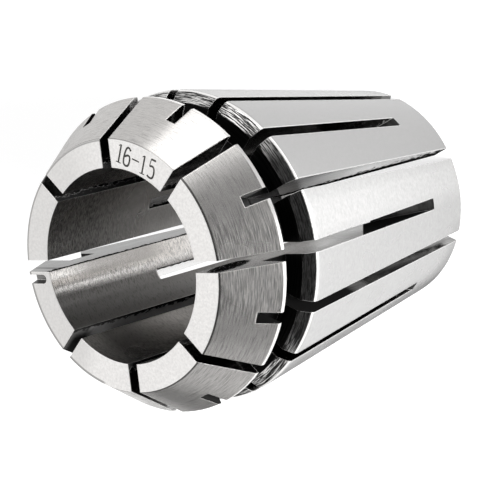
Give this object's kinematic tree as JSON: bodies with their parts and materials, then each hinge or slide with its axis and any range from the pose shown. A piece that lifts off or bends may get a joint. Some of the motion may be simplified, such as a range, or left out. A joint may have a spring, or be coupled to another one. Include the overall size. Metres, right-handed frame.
{
  "type": "spring collet",
  "caption": "Round spring collet for a tool chuck: long ground taper, short nose cone, nut groove, straight bore, and saw slots from both ends.",
  "frame": {"origin": "centre of the small rear face, which the collet stands on", "axes": "+Z along the bore axis, out of the nose; +X through the middle of one nose slot"},
  "size_m": [0.026, 0.026, 0.034],
  "materials": {
    "steel": "ground hardened spring steel"
  },
  "bodies": {
    "root": {"collet": "steel"}
  },
  "joints": []
}
